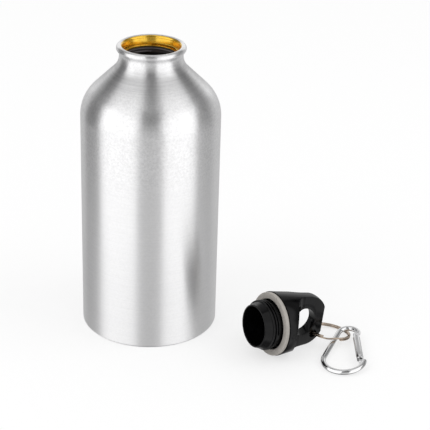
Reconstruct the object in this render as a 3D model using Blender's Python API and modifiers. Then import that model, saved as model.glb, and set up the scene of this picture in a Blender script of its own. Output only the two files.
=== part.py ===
"""Aluminium drinks bottle with its screw cap taken off, key ring and carabiner lying beside it.

Metres, +Z up. The origin is the middle of the bottle's base, and the bottle stands along Z.
The cap lies on its side to the right of the bottle, with the ring through its eyelet.
"""

import math

import bmesh
import bpy
import numpy as np
from mathutils import Matrix, Vector

# Fits and small common sizes
SEAT_GAP = 0.0002
PIN_GAP = 0.00012
LINK_GAP = 0.0003
CUT_OVERRUN = 0.004
JOIN_DEPTH = 0.0004
MERGE = 0.000001

# Bottle
BODY_RADIUS = 0.033
BODY_WALL = 0.0009
BASE_THICKNESS = 0.0012
BASE_CORNER = 0.0009
FLOOR_FILLET = 0.003
SHOULDER_START = 0.1076
SHOULDER_ARC = 0.0185
SHOULDER_SLOPE = math.radians(45.7)
NECK_ARC = 0.0095
NECK_RADIUS = 0.01485
NECK_WALL = 0.00205
NECK_INNER_FILLET = 0.002
LIP_FILLET = 0.003
LIP_OVERHANG = 0.00139
LIP_RADIUS = NECK_RADIUS + LIP_OVERHANG
LIP_ROLL = 0.0015

# Screw thread shared by the neck and the cap's plug
THREAD_PITCH = 0.0014
THREAD_DEPTH = 0.0008
THREAD_CLEARANCE = 0.0003
THREAD_ROOT_WIDTH = 0.0011
THREAD_CREST_WIDTH = 0.0004
NECK_THREAD_TURNS = 3
PLUG_THREAD_TURNS = 2.5

# Cap, whose plug fits the neck
PLUG_THREAD_RADIUS = NECK_RADIUS - NECK_WALL - THREAD_CLEARANCE
PLUG_NOSE_STEP = 0.0014
PLUG_NOSE_RADIUS = PLUG_THREAD_RADIUS - THREAD_DEPTH - PLUG_NOSE_STEP
PLUG_WALL = 0.0008
PLUG_LENGTH = 0.0107
PLUG_NOSE_LENGTH = 0.0011
PLUG_TAPER_LENGTH = 0.0016
PLUG_HOLLOW_PAST_FLANGE = 0.003
CAP_OVERHANG = 0.0006
CAP_RADIUS = NECK_RADIUS + CAP_OVERHANG
CAP_EDGE = 0.0003
CAP_HEIGHT = 0.0274
CAP_TAPER_SHARE = 0.125
CAP_DOME_ARC = 0.0105
CAP_DOME_HEIGHT_SHARE = 0.781
CAP_CONE_LENGTH = CAP_HEIGHT - CAP_DOME_HEIGHT_SHARE * CAP_DOME_ARC
CAP_CONE_END_RADIUS = CAP_RADIUS - CAP_TAPER_SHARE * CAP_CONE_LENGTH
FLANGE_THICKNESS = 0.0054
LOOP_THICKNESS = 0.0052
LOOP_SCOOP = 0.009
FINGER_HOLE_WALL = 0.00845
FINGER_HOLE_RADIUS = CAP_RADIUS - FINGER_HOLE_WALL
FINGER_HOLE_FROM_END = 0.0118
FINGER_HOLE_HEIGHT = CAP_HEIGHT - FINGER_HOLE_FROM_END
EYELET_RADIUS = 0.0021
EYELET_FROM_END = 0.0045
EYELET_HEIGHT = CAP_HEIGHT - EYELET_FROM_END
EYELET_FROM_SIDE = 0.00815
EYELET_OFFSET = CAP_RADIUS - EYELET_FROM_SIDE

# Seal washer
WASHER_INSET = 0.00025
WASHER_RADIUS = CAP_RADIUS - WASHER_INSET
WASHER_THICKNESS = 0.0019
WASHER_EDGE = 0.0003

# How the cap lies on the floor
CAP_X = 0.05886
CAP_Y = -0.0353
CAP_HEADING = math.radians(28)
CAP_LEAN = math.atan(CAP_TAPER_SHARE)

# Split ring
RING_RADIUS = 0.0102
RING_WIRE_WIDTH = 0.0012
RING_WIRE_HEIGHT = 0.0006
RING_COIL_GAP = 0.00025
RING_END_ANGLE = math.radians(24)
RING_CRANK_ANGLE = math.radians(36)
RING_SPLIT_AT = math.radians(-75)
RING_LIFT = 0.000275
RING_DROOP = math.radians(-6.2)
RING_YAW = math.radians(-12.1)
RING_ROLL = math.radians(-5.1)

# Carabiner
FRAME_WIRE = 0.0025
FRAME_WIDE_RADIUS = 0.0097
FRAME_NARROW_RADIUS = 0.0048
FRAME_NARROW_OFFSET = 0.0016
FRAME_CENTRE_DISTANCE = 0.0218
FRAME_HINGE_END = math.radians(4)
FRAME_NOSE_END = math.radians(-3)
TONGUE_THICKNESS = 0.0013
TONGUE_WIDTH = 0.0019
GATE_RADIUS = 0.0017
GATE_BORE = 0.0011
GATE_SLOT = 0.0019
GATE_END_GAP = 0.001
GATE_OFFSET_AT_HINGE = 0.0009
GATE_OFFSET_AT_NOSE = 0.0021
HINGE_PIN_RADIUS = 0.0005
HINGE_DROP = 0.0028
LATCH_PIN_RADIUS = 0.00042
LATCH_DEPTH = 0.0014
NOTCH_GAP = 0.0003

# How the carabiner lies in the split ring, measured from the ring's middle
CARABINER_BACK = 0.0246246
CARABINER_SIDE = 0.0019529
CARABINER_LEVEL = 0.004892
CARABINER_PITCH = math.radians(-163.606)
CARABINER_TILT = math.radians(12.432)
CARABINER_HEADING = math.radians(116.718)

# Gate return spring and its plunger
PLUNGER_RADIUS = 0.0009
PLUNGER_LENGTH = 0.0022
SPRING_RADIUS = 0.00068
SPRING_WIRE = 0.00032
SPRING_PITCH = 0.0008
SPRING_TURNS = 6
SPRING_POINTS_PER_TURN = 9

# Facets
BODY_STEPS = 64
NECK_STEPS = 48
CAP_STEPS = 64
ARC_STEPS = 6


def clear_scene():
    for obj in list(bpy.data.objects):
        bpy.data.objects.remove(obj, do_unlink=True)


def collection_named(name):
    made = bpy.data.collections.new(name)
    bpy.context.scene.collection.children.link(made)
    return made


def add_object(name, mesh, collection, material=None):
    obj = bpy.data.objects.new(name, mesh)
    collection.objects.link(obj)
    if material:
        mesh.materials.append(material)
    return obj


def add_empty(name, collection, parent=None, location=(0, 0, 0), rotation=(0, 0, 0), order="XYZ"):
    empty = bpy.data.objects.new(name, None)
    collection.objects.link(empty)
    empty.rotation_mode = order
    empty.location = location
    empty.rotation_euler = rotation
    empty.parent = parent
    return empty


def material_named(name, colour, roughness, metallic=0.0):
    material = bpy.data.materials.new(name)
    material.use_nodes = True
    shader = material.node_tree.nodes["Principled BSDF"]
    shader.inputs["Base Color"].default_value = (*colour, 1)
    shader.inputs["Roughness"].default_value = roughness
    shader.inputs["Metallic"].default_value = metallic
    return material


def arc(centre, radius, start, end, steps=ARC_STEPS):
    """Points of an arc from one angle to another, both in radians, ends included."""
    angles = [start + (end - start) * i / steps for i in range(steps + 1)]
    return [(centre[0] + radius * math.cos(t), centre[1] + radius * math.sin(t)) for t in angles]


def without_repeats(points):
    kept = [points[0]]
    for point in points[1:]:
        if math.dist(point, kept[-1]) > MERGE:
            kept.append(point)
    return kept


def turned(name, profile, steps, collection, material=None):
    """A solid turned about Z from (radius, height) points that run down its outer side."""
    profile = without_repeats(profile)
    mesh = bpy.data.meshes.new(name)
    edges = [(i, i + 1) for i in range(len(profile) - 1)]
    on_axis = profile[0][0] < MERGE and profile[-1][0] < MERGE
    if not on_axis:
        edges.append((len(profile) - 1, 0))
    mesh.from_pydata([(radius, 0, height) for radius, height in profile], edges, [])
    obj = add_object(name, mesh, collection, material)
    screw = obj.modifiers.new("Turn", "SCREW")
    screw.steps = screw.render_steps = steps
    screw.use_merge_vertices = True
    screw.merge_threshold = MERGE
    screw.use_smooth_shade = True
    return obj


def realised(obj, close_ends=False):
    """Puts the object's modifiers into its mesh, with its seams welded and its normals outward."""
    graph = bpy.context.evaluated_depsgraph_get()
    mesh = bpy.data.meshes.new_from_object(obj.evaluated_get(graph))
    bm = bmesh.new()
    bm.from_mesh(mesh)
    bmesh.ops.remove_doubles(bm, verts=bm.verts, dist=MERGE)
    if close_ends:
        bmesh.ops.holes_fill(bm, edges=bm.edges)
    bmesh.ops.recalc_face_normals(bm, faces=bm.faces)
    bm.to_mesh(mesh)
    bm.free()
    mesh.shade_smooth()
    mesh.set_sharp_from_angle(angle=math.radians(35))
    if obj.type == "MESH":
        obj.modifiers.clear()
        obj.data = mesh
        return obj
    solid = bpy.data.objects.new(obj.name, mesh)
    solid.matrix_world = obj.matrix_world
    for collection in obj.users_collection:
        collection.objects.link(solid)
    name = obj.name
    bpy.data.objects.remove(obj, do_unlink=True)
    solid.name = name
    return solid


def boolean(obj, other, operation):
    modifier = obj.modifiers.new(f"{operation.title()} {other.name}", "BOOLEAN")
    modifier.operation = operation
    modifier.object = other
    modifier.solver = "EXACT"
    return modifier


def as_cutter(obj):
    obj.hide_render = True
    obj.display_type = "WIRE"
    return obj


def cylinder(name, radius, start, end, collection, segments=24, material=None):
    """A cylinder between two points."""
    start, end = Vector(start), Vector(end)
    mesh = bpy.data.meshes.new(name)
    bm = bmesh.new()
    turn = (end - start).to_track_quat("Z", "Y").to_matrix().to_4x4()
    bmesh.ops.create_cone(
        bm,
        cap_ends=True,
        segments=segments,
        radius1=radius,
        radius2=radius,
        depth=(end - start).length,
        matrix=Matrix.Translation((start + end) / 2) @ turn,
    )
    bm.to_mesh(mesh)
    bm.free()
    return add_object(name, mesh, collection, material)


def box(name, low, high, collection, matrix=None, material=None):
    low, high = Vector(low), Vector(high)
    mesh = bpy.data.meshes.new(name)
    bm = bmesh.new()
    size = Matrix.Diagonal((*(high - low), 1))
    bmesh.ops.create_cube(bm, size=1, matrix=Matrix.Translation((low + high) / 2) @ size)
    if matrix:
        bmesh.ops.transform(bm, matrix=matrix, verts=bm.verts)
    bm.to_mesh(mesh)
    bm.free()
    return add_object(name, mesh, collection, material)


def thread_coil(name, root_radius, crest_radius, turns, start_height, collection):
    """A helical tooth whose root lies in the wall at root_radius and whose crest is at crest_radius."""
    sink = JOIN_DEPTH if root_radius < crest_radius else -JOIN_DEPTH
    half_root = THREAD_ROOT_WIDTH / 2
    half_crest = THREAD_CREST_WIDTH / 2
    section = [
        (root_radius - sink, start_height - half_root),
        (root_radius - sink, start_height + half_root),
        (crest_radius, start_height + half_crest),
        (crest_radius, start_height - half_crest),
    ]
    mesh = bpy.data.meshes.new(name)
    edges = [(0, 1), (1, 2), (2, 3), (3, 0)]
    mesh.from_pydata([(radius, 0, height) for radius, height in section], edges, [])
    obj = add_object(name, mesh, collection)
    screw = obj.modifiers.new("Helix", "SCREW")
    screw.steps = screw.render_steps = round(NECK_STEPS * turns)
    screw.angle = 2 * math.pi * turns
    screw.screw_offset = THREAD_PITCH * turns
    return as_cutter(realised(obj, close_ends=True))


def neck_radius_at_thread():
    """Inner radius of the neck, which the cap's thread clears when it is screwed in."""
    return PLUG_THREAD_RADIUS + THREAD_CLEARANCE


def bottle_levels():
    """Heights along the bottle's outline, from the driving sizes."""
    drop = 1 - math.cos(SHOULDER_SLOPE)
    inward = BODY_RADIUS - NECK_RADIUS - (SHOULDER_ARC + NECK_ARC) * drop
    cone = inward / math.sin(SHOULDER_SLOPE)
    neck = SHOULDER_START + (SHOULDER_ARC + NECK_ARC) * math.sin(SHOULDER_SLOPE)
    neck += cone * math.cos(SHOULDER_SLOPE)
    roll_centre = LIP_RADIUS - LIP_ROLL
    reach = LIP_FILLET + LIP_ROLL
    lip = neck + math.sqrt(reach**2 - (NECK_RADIUS + LIP_FILLET - roll_centre) ** 2)
    return neck, lip, roll_centre


def bottle_outline():
    """Outer side from the rolled lip's inside, over its top and down to the middle of the base."""
    neck, lip, roll_centre = bottle_levels()
    fillet_centre = (NECK_RADIUS + LIP_FILLET, neck)
    meet = math.atan2(neck - lip, fillet_centre[0] - roll_centre)
    points = arc((roll_centre, lip), LIP_ROLL, math.pi, meet, 2 * ARC_STEPS)
    points += arc(fillet_centre, LIP_FILLET, math.pi + meet, math.pi, ARC_STEPS // 2)
    points += arc((NECK_RADIUS + NECK_ARC, neck), NECK_ARC, math.pi, math.pi + SHOULDER_SLOPE)
    shoulder_centre = (BODY_RADIUS - SHOULDER_ARC, SHOULDER_START)
    points += arc(shoulder_centre, SHOULDER_ARC, SHOULDER_SLOPE, 0, ARC_STEPS)
    corner = (BODY_RADIUS - BASE_CORNER, BASE_CORNER)
    points += arc(corner, BASE_CORNER, 0, -math.pi / 2, ARC_STEPS // 2)
    points.append((0, 0))
    return points


def bottle_inside():
    """Inner side from the middle of the floor up to the neck's thread."""
    inner = BODY_RADIUS - BODY_WALL
    bore = neck_radius_at_thread()
    drop = 1 - math.cos(SHOULDER_SLOPE)
    shoulder = SHOULDER_ARC - BODY_WALL
    cone = (inner - bore - (shoulder + NECK_INNER_FILLET) * drop) / math.sin(SHOULDER_SLOPE)
    neck = SHOULDER_START + (shoulder + NECK_INNER_FILLET) * math.sin(SHOULDER_SLOPE)
    neck += cone * math.cos(SHOULDER_SLOPE)
    points = [(0, BASE_THICKNESS)]
    floor_corner = (inner - FLOOR_FILLET, BASE_THICKNESS + FLOOR_FILLET)
    points += arc(floor_corner, FLOOR_FILLET, -math.pi / 2, 0, ARC_STEPS // 2)
    points += arc((inner - shoulder, SHOULDER_START), shoulder, 0, SHOULDER_SLOPE)
    fillet_centre = (bore + NECK_INNER_FILLET, neck)
    fillet = arc(fillet_centre, NECK_INNER_FILLET, math.pi + SHOULDER_SLOPE, math.pi, ARC_STEPS // 2)
    return points + fillet, neck


def make_bottle(parts, cutters, material):
    """Drawn shell with a rolled lip, its neck's helical thread joined in."""
    inside, thread_start = bottle_inside()
    _, lip, _ = bottle_levels()
    thread_end = lip - LIP_ROLL / 2
    profile = inside + [(neck_radius_at_thread(), thread_end)] + bottle_outline()
    bottle = realised(turned("bottle_shell", profile, BODY_STEPS, parts, material))
    crest = neck_radius_at_thread() - THREAD_DEPTH
    first = thread_end - THREAD_ROOT_WIDTH - NECK_THREAD_TURNS * THREAD_PITCH
    coil = thread_coil("neck_thread", neck_radius_at_thread(), crest, NECK_THREAD_TURNS, first, cutters)
    boolean(bottle, coil, "UNION")
    return bottle


def cap_dome_end():
    """Radius of the cap's flat end, where the dome's arc reaches the cap's height."""
    centre_radius = CAP_CONE_END_RADIUS - CAP_DOME_ARC * math.cos(CAP_LEAN)
    centre_height = CAP_CONE_LENGTH - CAP_DOME_ARC * math.sin(CAP_LEAN)
    angle = math.asin((CAP_HEIGHT - centre_height) / CAP_DOME_ARC)
    return (centre_radius, centre_height), angle


def cap_profile():
    """Half section of the cap from its closed end, over the cone and the plug, to its hollow."""
    centre, end_angle = cap_dome_end()
    root = PLUG_THREAD_RADIUS - THREAD_DEPTH
    hollow = PLUG_NOSE_RADIUS - PLUG_WALL
    nose = -PLUG_LENGTH
    points = [(0, CAP_HEIGHT)]
    points += arc(centre, CAP_DOME_ARC, end_angle, CAP_LEAN, ARC_STEPS)
    points.append((CAP_RADIUS - CAP_EDGE * math.sin(CAP_LEAN), CAP_EDGE))
    points.append((CAP_RADIUS - CAP_EDGE, 0))
    points.append((root, 0))
    points.append((root, nose + PLUG_NOSE_LENGTH + PLUG_TAPER_LENGTH))
    points.append((PLUG_NOSE_RADIUS, nose + PLUG_NOSE_LENGTH))
    points.append((PLUG_NOSE_RADIUS, nose + PLUG_WALL / 3))
    points.append((PLUG_NOSE_RADIUS - PLUG_WALL / 3, nose))
    points.append((hollow + PLUG_WALL / 3, nose))
    points.append((hollow, nose + PLUG_WALL / 3))
    points.append((hollow, PLUG_HOLLOW_PAST_FLANGE))
    points.append((0, PLUG_HOLLOW_PAST_FLANGE))
    return points


def scoop(name, side, cutters):
    """Cuts one flat of the loop, with its concave run-out to the flange. side is +1 or -1 along X."""
    half = LOOP_THICKNESS / 2
    centre = (half + LOOP_SCOOP, FLANGE_THICKNESS + LOOP_SCOOP)
    outer = CAP_RADIUS + CUT_OVERRUN
    outline = [(outer, FLANGE_THICKNESS), (centre[0], FLANGE_THICKNESS)]
    outline += arc(centre, LOOP_SCOOP, -math.pi / 2, -math.pi, ARC_STEPS + 2)[1:]
    outline += [(half, CAP_HEIGHT + CUT_OVERRUN), (outer, CAP_HEIGHT + CUT_OVERRUN)]
    reach = CAP_RADIUS + CUT_OVERRUN
    bm = bmesh.new()
    corners = [bm.verts.new((side * x, -reach, z)) for x, z in outline]
    face = bm.faces.new(corners)
    pushed = bmesh.ops.extrude_face_region(bm, geom=[face])["geom"]
    moved = [item for item in pushed if isinstance(item, bmesh.types.BMVert)]
    bmesh.ops.translate(bm, vec=(0, 2 * reach, 0), verts=moved)
    bmesh.ops.recalc_face_normals(bm, faces=bm.faces)
    mesh = bpy.data.meshes.new(name)
    bm.to_mesh(mesh)
    bm.free()
    return as_cutter(add_object(name, mesh, cutters))


def cross_hole(name, radius, across, height, cutters, segments):
    reach = LOOP_THICKNESS / 2 + CUT_OVERRUN
    start = (-reach, across, height)
    return as_cutter(cylinder(name, radius, start, (reach, across, height), cutters, segments))


def make_cap(parts, cutters, frame, material):
    """One moulding: hollow threaded plug, flange, and the loop with its finger hole and eyelet."""
    cap = realised(turned("cap_body", cap_profile(), CAP_STEPS, parts, material))
    root = PLUG_THREAD_RADIUS - THREAD_DEPTH
    first = THREAD_ROOT_WIDTH / 2 - PLUG_LENGTH + PLUG_NOSE_LENGTH + PLUG_TAPER_LENGTH + SEAT_GAP
    tools = [
        (thread_coil("plug_thread", root, PLUG_THREAD_RADIUS, PLUG_THREAD_TURNS, first, cutters), "UNION"),
        (scoop("front_scoop", -1, cutters), "DIFFERENCE"),
        (scoop("back_scoop", 1, cutters), "DIFFERENCE"),
        (
            cross_hole("finger_hole", FINGER_HOLE_RADIUS, 0, FINGER_HOLE_HEIGHT, cutters, 32),
            "DIFFERENCE",
        ),
        (
            cross_hole("eyelet_hole", EYELET_RADIUS, -EYELET_OFFSET, EYELET_HEIGHT, cutters, 16),
            "DIFFERENCE",
        ),
    ]
    cap.parent = frame
    for tool, operation in tools:
        tool.parent = frame
        boolean(cap, tool, operation)
    return cap


def make_washer(parts, frame, material):
    inner = PLUG_THREAD_RADIUS + SEAT_GAP
    top = -SEAT_GAP
    bottom = top - WASHER_THICKNESS
    profile = [
        (inner, top),
        (WASHER_RADIUS - WASHER_EDGE, top),
        (WASHER_RADIUS, top - WASHER_EDGE),
        (WASHER_RADIUS, bottom + WASHER_EDGE),
        (WASHER_RADIUS - WASHER_EDGE, bottom),
        (inner, bottom),
    ]
    washer = realised(turned("seal_washer", profile, CAP_STEPS, parts, material))
    washer.parent = frame
    return washer


def ring_path():
    """Centreline of the split ring's two coils: the eyelet is at the origin and the coils' axis is Z."""
    pitch = RING_WIRE_HEIGHT + RING_COIL_GAP
    sweep = 4 * math.pi - 2 * RING_END_ANGLE
    count = 56
    points = []
    for i in range(count + 1):
        turn = RING_END_ANGLE + sweep * i / count
        share = min(max((turn - 2 * math.pi) / RING_CRANK_ANGLE + 0.5, 0), 1)
        height = pitch * (share * share * (3 - 2 * share) - 0.5)
        angle = turn + RING_SPLIT_AT
        points.append((RING_RADIUS * math.sin(angle), RING_RADIUS * (1 - math.cos(angle)), height))
    return points


def section_curve(name, width, height, collection, corners=8):
    """Closed oval outline used as a wire's section."""
    data = bpy.data.curves.new(name, "CURVE")
    data.dimensions = "2D"
    spline = data.splines.new("POLY")
    spline.points.add(corners - 1)
    spline.use_cyclic_u = True
    half_step = math.pi / corners
    reach = 1 / (2 * math.cos(half_step))
    for i, point in enumerate(spline.points):
        angle = half_step * (2 * i + 1)
        point.co = (width * reach * math.cos(angle), height * reach * math.sin(angle), 0, 1)
    obj = bpy.data.objects.new(name, data)
    collection.objects.link(obj)
    return as_cutter(obj)


def wire(name, points, collection, radius=None, section=None, resolution=2):
    """A wire along the points, round or with the given section, its ends capped."""
    data = bpy.data.curves.new(name, "CURVE")
    data.dimensions = "3D"
    data.use_fill_caps = True
    if section:
        data.bevel_mode = "OBJECT"
        data.bevel_object = section
        data.twist_mode = "Z_UP"
    else:
        data.bevel_depth = radius
        data.bevel_resolution = resolution
    spline = data.splines.new("POLY")
    spline.points.add(len(points) - 1)
    for target, point in zip(spline.points, points):
        target.co = (*point, 1)
    obj = bpy.data.objects.new(name, data)
    collection.objects.link(obj)
    return realised(obj)


def make_ring(parts, cutters, frame, material):
    """Split ring of flattened wire, hung through the cap's eyelet and turned about the eyelet's axis."""
    location = (0, -EYELET_OFFSET, EYELET_HEIGHT)
    pivot = add_empty("ring_pivot", parts, frame, location, (-RING_DROOP, 0, 0))
    section = section_curve("ring_section", RING_WIRE_WIDTH, RING_WIRE_HEIGHT, cutters)
    ring = wire("split_ring", ring_path(), parts, section=section)
    ring.data.materials.append(material)
    rotation = (math.pi / 2, RING_YAW, RING_ROLL)
    ring_frame = add_empty("ring", parts, pivot, (0, RING_LIFT, 0), rotation)
    ring.parent = ring_frame
    return ring_frame


def frame_centres():
    """Centres of the wide and narrow ends' arcs and the angle at which the straight leg meets them."""
    narrow = (FRAME_NARROW_OFFSET, FRAME_CENTRE_DISTANCE)
    line = math.atan2(narrow[1], narrow[0])
    spread = math.acos((FRAME_WIDE_RADIUS - FRAME_NARROW_RADIUS) / math.hypot(*narrow))
    return narrow, line + spread


def frame_path():
    """Wire centreline from the gate's hinge, over the narrow end, down the leg to the nose."""
    narrow, leg = frame_centres()
    points = arc(narrow, FRAME_NARROW_RADIUS, FRAME_HINGE_END, leg, 2 * ARC_STEPS)
    nose = 2 * math.pi + FRAME_NOSE_END
    points += arc((0, 0), FRAME_WIDE_RADIUS, leg, nose, 3 * ARC_STEPS)
    return [(x, y, 0) for x, y in points]


def gate_line():
    """Hinge point, latch point and the matrix of the gate, whose Z runs from the hinge to the nose."""
    narrow, _ = frame_centres()
    hinge_end = Vector(arc(narrow, FRAME_NARROW_RADIUS, FRAME_HINGE_END, FRAME_HINGE_END, 1)[0])
    nose_end = Vector(arc((0, 0), FRAME_WIDE_RADIUS, FRAME_NOSE_END, FRAME_NOSE_END, 1)[0])
    hinge = Vector((hinge_end.x - GATE_OFFSET_AT_HINGE, hinge_end.y - HINGE_DROP, 0))
    latch_height = nose_end.y + GATE_END_GAP + LATCH_DEPTH
    latch = Vector((nose_end.x - GATE_OFFSET_AT_NOSE, latch_height, 0))
    along = (latch - hinge).normalized()
    across = Vector((0, 0, 1)).cross(along)
    turn = Matrix((across, Vector((0, 0, 1)), along)).transposed().to_4x4()
    return hinge, latch, hinge_end, nose_end, turn


def make_frame(parts, cutters, carabiner, material):
    """Bent wire frame with a flat tongue at the hinge and a notched tongue at the nose."""
    hinge, latch, hinge_end, nose_end, turn = gate_line()
    frame = wire("carabiner_frame", frame_path(), parts, radius=FRAME_WIRE / 2)
    frame.data.materials.append(material)
    frame.parent = carabiner
    half = TONGUE_THICKNESS / 2
    width = TONGUE_WIDTH / 2
    heel = TONGUE_WIDTH / 2 + PIN_GAP
    hinge_tongue = box(
        "hinge_tongue",
        (hinge.x - width, hinge.y - heel, -half),
        (hinge.x + width, hinge_end.y + JOIN_DEPTH, half),
        cutters,
    )
    nose_low = nose_end.y - FRAME_WIRE / 2
    nose_tongue = box(
        "nose_tongue",
        (latch.x - width / 2, nose_low, -half),
        (nose_end.x - JOIN_DEPTH, latch.y + LATCH_PIN_RADIUS + NOTCH_GAP + width / 2, half),
        cutters,
    )
    reach = half + CUT_OVERRUN
    pin_hole = cylinder(
        "hinge_pin_hole",
        HINGE_PIN_RADIUS + PIN_GAP,
        (hinge.x, hinge.y, -reach),
        (hinge.x, hinge.y, reach),
        cutters,
        16,
    )
    notch_half = LATCH_PIN_RADIUS + NOTCH_GAP
    notch = box(
        "latch_notch",
        (latch.x - CUT_OVERRUN, latch.y - notch_half, -reach),
        (latch.x + notch_half, latch.y + notch_half, reach),
        cutters,
    )
    for tool, operation in (
        (hinge_tongue, "UNION"),
        (nose_tongue, "UNION"),
        (pin_hole, "DIFFERENCE"),
        (notch, "DIFFERENCE"),
    ):
        tool.parent = carabiner
        as_cutter(tool)
        boolean(frame, tool, operation)
    return frame


def gate_levels():
    """Distances from the hinge along the gate: its two ends, slots and bore."""
    hinge, latch, _, _, _ = gate_line()
    length = (latch - hinge).length
    top = -GATE_RADIUS
    bottom = length + LATCH_DEPTH
    hinge_slot = TONGUE_WIDTH / 2 + PIN_GAP + LINK_GAP
    plunger = hinge_slot
    spring = plunger + PLUNGER_LENGTH + LINK_GAP
    spring_end = spring + SPRING_PITCH * SPRING_TURNS + SPRING_WIRE
    return top, bottom, hinge_slot, plunger, spring, spring_end, length


def make_gate(parts, cutters, pivot, material):
    """Gate tube, bored from the hinge end for the spring, with a slot at each end."""
    top, bottom, hinge_slot, _, _, spring_end, length = gate_levels()
    profile = [
        (0, bottom),
        (GATE_RADIUS - CAP_EDGE, bottom),
        (GATE_RADIUS, bottom - CAP_EDGE),
        (GATE_RADIUS, top + CAP_EDGE),
        (GATE_RADIUS - CAP_EDGE, top),
        (GATE_BORE, top),
        (GATE_BORE, spring_end + SEAT_GAP),
        (0, spring_end + SEAT_GAP),
    ]
    gate = realised(turned("gate", profile, 20, parts, material))
    gate.parent = pivot
    half = GATE_SLOT / 2
    reach = GATE_RADIUS + CUT_OVERRUN
    latch_slot = length - LATCH_PIN_RADIUS - NOTCH_GAP - TONGUE_WIDTH / 2
    tools = [
        box("hinge_slot", (-reach, -half, top - CUT_OVERRUN), (reach, half, hinge_slot), cutters),
        box("latch_slot", (-reach, -half, latch_slot), (reach, half, bottom + CUT_OVERRUN), cutters),
        cylinder(
            "hinge_pin_bore",
            HINGE_PIN_RADIUS + PIN_GAP,
            (0, -reach, 0),
            (0, reach, 0),
            cutters,
            16,
        ),
        cylinder(
            "latch_pin_bore",
            LATCH_PIN_RADIUS + PIN_GAP,
            (0, -reach, length),
            (0, reach, length),
            cutters,
            16,
        ),
    ]
    for tool in tools:
        tool.parent = pivot
        boolean(gate, as_cutter(tool), "DIFFERENCE")
    return gate


def make_gate_inserts(parts, pivot, pin_metal, steel):
    """The two cross pins, the plunger and the return spring inside the gate."""
    _, _, _, plunger, spring, _, length = gate_levels()
    reach = GATE_RADIUS
    hinge_pin = cylinder(
        "hinge_pin", HINGE_PIN_RADIUS, (0, -reach, 0), (0, reach, 0), parts, 16, pin_metal
    )
    latch_pin = cylinder(
        "latch_pin", LATCH_PIN_RADIUS, (0, -reach, length), (0, reach, length), parts, 16, pin_metal
    )
    rod = cylinder(
        "plunger",
        PLUNGER_RADIUS,
        (0, 0, plunger),
        (0, 0, plunger + PLUNGER_LENGTH),
        parts,
        12,
        steel,
    )
    count = SPRING_TURNS * SPRING_POINTS_PER_TURN
    points = []
    for i in range(count + 1):
        angle = 2 * math.pi * i / SPRING_POINTS_PER_TURN
        height = spring + SPRING_WIRE / 2 + SPRING_PITCH * i / SPRING_POINTS_PER_TURN
        points.append((SPRING_RADIUS * math.cos(angle), SPRING_RADIUS * math.sin(angle), height))
    coil = wire("gate_spring", points, parts, radius=SPRING_WIRE / 2, resolution=1)
    coil.data.materials.append(steel)
    for obj in (hinge_pin, latch_pin, rod, coil):
        obj.parent = pivot
    print(f"gate spring, least gap to itself: {self_gap(points, SPRING_WIRE) * 1000:.2f} mm")
    return hinge_pin, latch_pin, rod, coil


def self_gap(points, thickness):
    """Least clear distance between a coil's own turns, measured on its points."""
    path = np.array(points)
    skip = SPRING_POINTS_PER_TURN // 2
    least = math.inf
    for i in range(len(path) - skip):
        least = min(least, np.linalg.norm(path[i + skip :] - path[i], axis=1).min())
    return least - thickness


def make_carabiner(parts, cutters, ring_frame, chrome, steel):
    """The frame hangs in the split ring and rests on the floor at its wide end."""
    location = (-CARABINER_BACK, RING_RADIUS - CARABINER_SIDE, CARABINER_LEVEL)
    rotation = (CARABINER_PITCH, CARABINER_TILT, CARABINER_HEADING)
    carabiner = add_empty("carabiner", parts, ring_frame, location, rotation)
    make_frame(parts, cutters, carabiner, chrome)
    hinge, _, _, _, gate_turn = gate_line()
    pivot = add_empty("gate_pivot", parts, carabiner, hinge, gate_turn.to_euler())
    make_gate(parts, cutters, pivot, chrome)
    make_gate_inserts(parts, pivot, chrome, steel)


def main():
    clear_scene()
    parts = collection_named("aluminium_bottle")
    cutters = collection_named("cutters")
    aluminium = material_named("brushed_aluminium", (0.78, 0.79, 0.8), 0.3, 1.0)
    plastic = material_named("black_plastic", (0.012, 0.012, 0.013), 0.35)
    silicone = material_named("washer_silicone", (0.8, 0.78, 0.74), 0.5)
    nickel = material_named("ring_nickel", (0.62, 0.58, 0.54), 0.2, 1.0)
    chrome = material_named("carabiner_chrome", (0.82, 0.82, 0.82), 0.1, 1.0)
    steel = material_named("spring_steel", (0.5, 0.5, 0.5), 0.3, 1.0)
    make_bottle(parts, cutters, aluminium)
    height = CAP_RADIUS * math.cos(CAP_LEAN)
    rotation = (math.pi / 2 + CAP_LEAN, 0, CAP_HEADING + math.pi / 2)
    cap_frame = add_empty("cap", parts, None, (CAP_X, CAP_Y, height), rotation)
    make_cap(parts, cutters, cap_frame, plastic)
    make_washer(parts, cap_frame, silicone)
    ring_frame = make_ring(parts, cutters, cap_frame, nickel)
    make_carabiner(parts, cutters, ring_frame, chrome, steel)


main()
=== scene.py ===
"""Aluminium drinks bottle with its screw cap, split ring and carabiner lying beside it."""

import math

import bmesh
import bpy
from bpy.props import FloatProperty, FloatVectorProperty, IntProperty, PointerProperty
from mathutils import Matrix, Vector


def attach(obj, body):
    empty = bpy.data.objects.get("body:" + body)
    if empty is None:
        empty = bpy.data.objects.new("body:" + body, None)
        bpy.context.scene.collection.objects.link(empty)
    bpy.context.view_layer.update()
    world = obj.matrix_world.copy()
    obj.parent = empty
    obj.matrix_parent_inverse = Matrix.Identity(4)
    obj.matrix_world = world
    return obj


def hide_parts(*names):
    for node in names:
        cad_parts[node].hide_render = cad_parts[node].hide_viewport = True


bl_info = {
    "name": "Aluminium bottle with loop cap",
    "version": (1, 0, 0),
    "blender": (4, 5, 0),
    "location": "3D View > Sidebar > Bottle",
    "description": "Dresses the packed bottle, cap, ring and carabiner in their finished looks",
    "category": "Object",
}

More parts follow.
